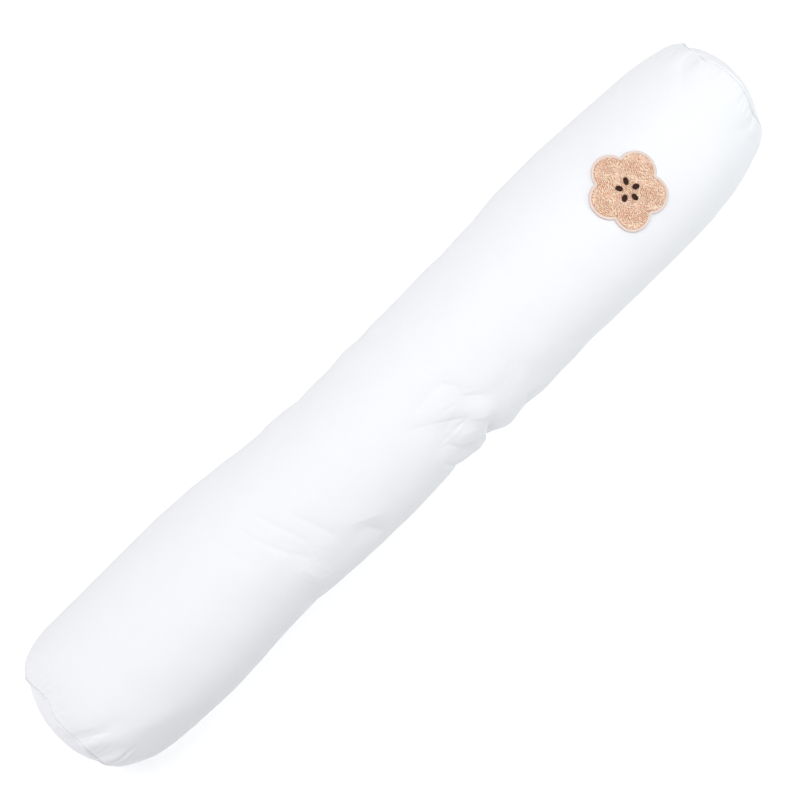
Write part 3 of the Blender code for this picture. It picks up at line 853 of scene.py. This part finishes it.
def pile_rows(inset, rng):
    """Return places of loops in wandering rows, at least inset from the flower's edge, and their headings."""
    reach = PETAL_REACH + PETAL_RADIUS + 2 * LOOP_WANDER
    turn = math.radians(LOOP_HEADING)
    jitter_along, jitter_across = LOOP_JITTER
    spots, headings = [], []
    for k, row in enumerate(np.arange(-reach, reach, LOOP_ROW)):
        along = np.arange(-reach, reach, LOOP_PITCH) + (LOOP_PITCH / 2 if k % 2 else 0.0)
        along += rng.uniform(-jitter_along, jitter_along, len(along)) * LOOP_PITCH
        phase = along / LOOP_WAVE + 1.1 * math.sin(row / LOOP_WAVE)
        across = row + LOOP_WANDER * np.sin(phase)
        across += rng.uniform(-jitter_across, jitter_across, len(along)) * LOOP_ROW
        heading = turn + np.arctan(LOOP_WANDER / LOOP_WAVE * np.cos(phase))
        heading += rng.normal(0.0, LOOP_TURNING, len(along))
        u, v = turned(along, across, turn)
        inside = np.hypot(u, v) < petal_outline(PETAL_RADIUS - inset, np.arctan2(v, u))
        spots.append(np.stack([u, v], axis=-1)[inside])
        headings.append(heading[inside])
    return np.concatenate(spots), np.concatenate(headings)


def add_pile_ground(cover, material):
    """The cloth that the loops stand on: a low cushion with a rounded edge."""
    angles = np.arange(GROUND_AROUND) * 2 * math.pi / GROUND_AROUND
    edge = petal_outline(PETAL_RADIUS - GROUND_INSET, angles)
    middle = np.zeros(1)
    rings = [on_patch(cover, middle, middle, np.full(1, GROUND_RINGS[0][1]))]
    for share, lift in GROUND_RINGS:
        u, v = share * edge * np.cos(angles), share * edge * np.sin(angles)
        rings.append(on_patch(cover, u, v, np.full(len(angles), lift)))
    rings.append(on_patch(cover, middle, middle, np.full(1, GROUND_MIDDLE)))
    points, faces = closed_rings(rings)
    return mesh_object("pile_ground", points, faces, material)


def add_pile_loops(cover, material):
    """The looped pile: short fat arches of yarn, leaning and turned unevenly."""
    rng = np.random.RandomState(LOOP_SEED)
    spots, heading = pile_rows(LOOP_INSET, rng)
    count = len(spots)
    half = rng.uniform(*LOOP_HALF, count)
    top = PILE_HEIGHT + rng.uniform(-LOOP_TOP_SPREAD, LOOP_TOP_SPREAD, count)
    bend = rng.uniform(-LOOP_BEND, LOOP_BEND, count)
    t = np.linspace(-1.0, 1.0, LOOP_POINTS)
    along = half[:, None] * t[None, :]
    across = bend[:, None] * (1.0 - t[None, :] ** 2)
    lift = LOOP_FOOT + (top[:, None] - LOOP_FOOT) * (1.0 - np.abs(t[None, :]) ** LOOP_SHAPE)
    u, v = turned(along, across, heading[:, None])
    u, v = spots[:, :1] + u, spots[:, 1:] + v
    radii = rng.uniform(*LOOP_RADIUS, count)
    points, faces = tubes(cover, np.stack([u, v, lift], axis=-1), radii, LOOP_SIDES)
    piece = mesh_object("pile_loops", points, faces, material)
    shade = piece.data.attributes.new("yarn", "FLOAT", "POINT")
    tones = np.repeat(rng.uniform(0, 1, count), LOOP_POINTS * LOOP_SIDES)
    shade.data.foreach_set("value", tones.astype(np.float32))
    return piece


def flower_edge(step):
    """Return points along the flower's outline at even steps, with the outward directions, corners eased."""
    angles = np.linspace(0, 2 * math.pi, EDGE_SAMPLES, endpoint=False)
    reach = petal_outline(PETAL_RADIUS, angles)
    line = np.stack([reach * np.cos(angles), reach * np.sin(angles)], axis=-1)
    line = blur(line, EDGE_BLUR, 0, True)
    gaps = np.linalg.norm(np.roll(line, -1, axis=0) - line, axis=1)
    length = np.concatenate([[0], np.cumsum(gaps)])
    count = int(length[-1] / step)
    at = np.arange(count) * length[-1] / count
    closed = np.concatenate([line, line[:1]])
    even = np.stack([np.interp(at, length, closed[:, k]) for k in (0, 1)], axis=-1)
    tangent = np.roll(even, -1, axis=0) - np.roll(even, 1, axis=0)
    outward = np.stack([tangent[:, 1], -tangent[:, 0]], axis=-1)
    outward = blur(outward, EDGE_TURN_BLUR / step, 0, True)
    return even, outward / np.linalg.norm(outward, axis=1, keepdims=True)


def add_border(cover, material):
    """The satin-stitched border: threads side by side across a low ridge."""
    rng = np.random.RandomState(STITCH_SEED)
    even, outward = flower_edge(STITCH_STEP)
    count = len(even)
    t = np.linspace(-1.0, 1.0, STITCH_POINTS)
    half = BORDER_WIDTH / 2 + rng.uniform(0.0, STITCH_SPREAD, count)
    lean = np.stack([-outward[:, 1], outward[:, 0]], axis=-1) * STITCH_LEAN
    plane = even[:, None] + t[None, :, None] * (outward * half[:, None] + lean)[:, None]
    lift = STITCH_FOOT + STITCH_RISE * (1.0 - np.abs(t) ** STITCH_SHAPE)
    lift = np.repeat(lift[None], count, axis=0)
    lift += rng.uniform(-STITCH_UNEVEN, STITCH_UNEVEN, (count, 1))
    lines = np.concatenate([plane, lift[..., None]], axis=-1)
    points, faces = tubes(cover, lines, np.full(count, STITCH_RADIUS), THREAD_SIDES)

    ridge = []
    for across, height in BORDER_RIDGE:
        spot = even + outward * across * BORDER_WIDTH / 2
        ridge.append(on_patch(cover, spot[:, 0], spot[:, 1], np.full(count, height)))
    start = len(points)
    ridge_faces = ring_faces(len(ridge) + 1, count)
    total = len(ridge) * count
    ridge_faces = [[start + index % total for index in face] for face in ridge_faces]
    points = np.concatenate([points, *ridge])
    return mesh_object("border_stitches", points, faces + ridge_faces, material)


def add_seed(cover, index, material):
    """One embroidered oval: threads side by side over a small padded core."""
    angle = (index + 0.5) * 2 * math.pi / SEED_COUNT
    rows = np.linspace(-SEED_ROWS_REACH, SEED_ROWS_REACH, SEED_THREADS)
    half = SEED_LENGTH / 2 * np.sqrt(1.0 - rows**2)
    t = np.linspace(-1.0, 1.0, SEED_POINTS)
    along = SEED_RING + half[:, None] * t[None, :]
    across = np.repeat(rows[:, None] * SEED_WIDTH / 2, len(t), axis=1)
    crown = SEED_CROWN * np.sqrt(1.0 - rows**2)[:, None]
    lift = SEED_FOOT + crown * (1.0 - np.abs(t[None, :]) ** SEED_SHAPE) + SEED_PADDING
    u, v = turned(along, across, angle)
    lines = np.stack([u, v, lift], axis=-1)
    points, faces = tubes(cover, lines, np.full(len(rows), SEED_THREAD_RADIUS), THREAD_SIDES)
    return mesh_object(f"seed_stitches_{index + 1}", points, faces, material)


def new_material(name, roughness, specular):
    """Return a material with its node tree and Principled shader."""
    material = bpy.data.materials.new(name)
    material.use_nodes = True
    tree = material.node_tree
    shader = tree.nodes["Principled BSDF"]
    shader.inputs["Roughness"].default_value = roughness
    shader.inputs["Specular IOR Level"].default_value = specular
    return material, tree, shader


def math_node(tree, operation, first, second):
    """Add a maths node whose inputs are sockets or numbers, and return its output."""
    node = tree.nodes.new("ShaderNodeMath")
    node.operation = operation
    for socket, value in zip(node.inputs, (first, second)):
        if isinstance(value, (int, float)):
            socket.default_value = value
        else:
            tree.links.new(value, socket)
    return node.outputs[0]


def noise_node(tree, scale, detail):
    """Add a noise texture on the object and return its value output."""
    place = tree.nodes.new("ShaderNodeTexCoord").outputs["Object"]
    node = tree.nodes.new("ShaderNodeTexNoise")
    node.inputs["Scale"].default_value = scale
    node.inputs["Detail"].default_value = detail
    tree.links.new(place, node.inputs["Vector"])
    return node.outputs[0]


def bump_node(tree, height, strength, distance, under=None):
    """Add a bump node over another one and return its normal output."""
    node = tree.nodes.new("ShaderNodeBump")
    node.inputs["Strength"].default_value = strength
    node.inputs["Distance"].default_value = distance
    tree.links.new(height, node.inputs["Height"])
    if under is not None:
        tree.links.new(under, node.inputs["Normal"])
    return node.outputs[0]


def mix_colours(tree, share, first, second):
    """Blend two colours by a socket and return the colour output."""
    node = tree.nodes.new("ShaderNodeMix")
    node.data_type = "RGBA"
    tree.links.new(share, node.inputs["Factor"])
    node.inputs["A"].default_value = (*first, 1.0)
    node.inputs["B"].default_value = (*second, 1.0)
    return node.outputs["Result"]


def cotton_material():
    """Plain-weave white cotton: fine threads and slight unevenness, without gloss."""
    material, tree, shader = new_material("white_cotton", roughness=0.9, specular=0.15)
    cloth = tree.nodes.new("ShaderNodeUVMap")
    cloth.uv_map = "cloth"
    split = tree.nodes.new("ShaderNodeSeparateXYZ")
    tree.links.new(cloth.outputs[0], split.inputs[0])
    waves = []
    for output in (split.outputs[0], split.outputs[1]):
        phase = math_node(tree, "MULTIPLY", output, 2 * math.pi / WEAVE_PITCH)
        waves.append(math_node(tree, "SINE", phase, 0.0))
    weave = math_node(tree, "MULTIPLY", waves[0], waves[1])
    crumple = noise_node(tree, CRUMPLE_SCALE, 3.0)
    slub = noise_node(tree, SLUB_SCALE, 2.0)
    normal = bump_node(tree, crumple, *CRUMPLE_BUMP)
    normal = bump_node(tree, slub, *SLUB_BUMP, normal)
    normal = bump_node(tree, weave, *WEAVE_BUMP, normal)
    tree.links.new(normal, shader.inputs["Normal"])
    tree.links.new(mix_colours(tree, slub, *COTTON), shader.inputs["Base Color"])
    return material


def pile_material(name, colours):
    """Looped yarn: each loop a little lighter or darker, with fuzz."""
    material, tree, shader = new_material(name, roughness=0.95, specular=0.15)
    yarn = tree.nodes.new("ShaderNodeAttribute")
    yarn.attribute_name = "yarn"
    fuzz = noise_node(tree, FUZZ_SCALE, 2.0)
    share = math_node(tree, "ADD", yarn.outputs["Fac"], math_node(tree, "SUBTRACT", fuzz, 0.5))
    tree.links.new(mix_colours(tree, share, *colours), shader.inputs["Base Color"])
    tree.links.new(bump_node(tree, fuzz, *FUZZ_BUMP), shader.inputs["Normal"])
    shader.inputs["Sheen Weight"].default_value = 0.2
    return material


def thread_material(name, colours, roughness):
    """Smooth embroidery thread with a fine twist."""
    material, tree, shader = new_material(name, roughness, specular=0.2)
    twist = noise_node(tree, TWIST_SCALE, 2.0)
    tree.links.new(mix_colours(tree, twist, *colours), shader.inputs["Base Color"])
    tree.links.new(bump_node(tree, twist, *TWIST_BUMP), shader.inputs["Normal"])
    return material


def floor_material():
    """A white studio surface."""
    material, _, shader = new_material("studio_white", roughness=0.9, specular=0.5)
    shader.inputs["Base Color"].default_value = (FLOOR_GREY, FLOOR_GREY, FLOOR_GREY, 1.0)
    shader.inputs["Emission Color"].default_value = (1.0, 1.0, 1.0, 1.0)
    shader.inputs["Emission Strength"].default_value = FLOOR_GLOW
    return material


def add_floor():
    """A pale floor, wide enough for every view."""
    signs = ((-1, -1), (1, -1), (1, 1), (-1, 1))
    corners = [(x * FLOOR_HALF, y * FLOOR_HALF, FLOOR_HEIGHT) for x, y in signs]
    floor = mesh_object("floor", corners, [(0, 1, 2, 3)], floor_material(), smooth=False)


def add_area_light(name, place, size, power, colour):
    """A soft box that points at the bolster."""
    light = bpy.data.lights.new(name, "AREA")
    light.shape = "DISK"
    light.size = size
    light.energy = power
    light.color = colour
    lamp = bpy.data.objects.new(name, light)
    bpy.context.scene.collection.objects.link(lamp)
    lamp.location = place
    lamp.rotation_euler = (-Vector(place)).to_track_quat("-Z", "Y").to_euler()


def add_light():
    """Soft studio light: wide boxes above and behind, smaller ones at both ends, and a pale room."""
    for light in LIGHTS:
        add_area_light(*light)
    world = bpy.data.worlds.new("studio_room")
    world.use_nodes = True
    background = world.node_tree.nodes["Background"]
    background.inputs["Color"].default_value = ROOM_COLOUR
    background.inputs["Strength"].default_value = ROOM_LIGHT
    bpy.context.scene.world = world
    bpy.context.scene.view_settings.view_transform = "Standard"
    bpy.context.scene.view_settings.look = "None"


def add_camera():
    """The camera above the bolster, whose length runs across the picture's diagonal."""
    angle = math.radians(BOLSTER_ANGLE)
    right = Vector((math.cos(angle), -math.sin(angle), 0.0))
    up = Vector((math.sin(angle), math.cos(angle), 0.0))
    aim = Vector(CAMERA_AIM) + right * FRAME_SHIFT_RIGHT + up * FRAME_SHIFT_UP
    eye = aim + Vector(CAMERA_OFFSET)
    back = (eye - aim).normalized()
    side = up.cross(back).normalized()
    top = back.cross(side)
    data = bpy.data.cameras.new("camera")
    data.lens = CAMERA_LENS
    data.sensor_width = SENSOR_WIDTH
    camera = bpy.data.objects.new("camera", data)
    bpy.context.scene.collection.objects.link(camera)
    camera.matrix_world = Matrix.Translation(eye) @ Matrix((side, top, back)).transposed().to_4x4()
    bpy.context.scene.camera = camera


def panel_bulge(node, seam, outward):
    """Return how far an end panel's crown stands out from its seam, from the CAD box."""
    low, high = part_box(node)
    tip = (high.x if outward > 0 else low.x) / MM
    return abs(tip - seam)


def main():
    """Build every piece, the floor, the light and the camera."""
    cotton = cotton_material()
    pile = pile_material("tan_pile", TAN_PILE)
    # The ground's darker tan is painted shade for the gaps between the loops
    ground = pile_material("tan_ground_painted_shade", TAN_GROUND_PAINTED_SHADE)
    rim_thread = thread_material("peach_thread", PEACH_THREAD, 0.5)
    seed_thread = thread_material("brown_thread", BROWN_THREAD, 0.7)

    cover = Cover()
    body = add_cover(cover, cotton)
    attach(body, "root")
    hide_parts("bolster_body")

    for node, outward, extra, power, tilt, lowering in PANELS:
        bulge = panel_bulge(node, cover.left if outward < 0 else cover.right, outward) + extra
        ring = cover.seam_ring(outward)
        form = (outward, bulge, power, tilt, lowering)
        panel = add_end_panel("cotton_" + node, ring, *form, cover.turns, cotton)
        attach(panel, "root")
        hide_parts(node)

    pieces = [
        (add_pile_ground(cover, ground), "tan_pile", "patch_pile"),
        (add_pile_loops(cover, pile), "tan_pile", "patch_pile"),
        (add_border(cover, rim_thread), "peach_thread", "patch_border"),
    ]
    for index in range(SEED_COUNT):
        pieces.append((add_seed(cover, index, seed_thread), "brown_thread", f"patch_seed_{index + 1}"))
    for piece, slot, node in pieces:
        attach(piece, "root")
        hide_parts(node)

    add_floor()
    add_light()
    add_camera()


main()
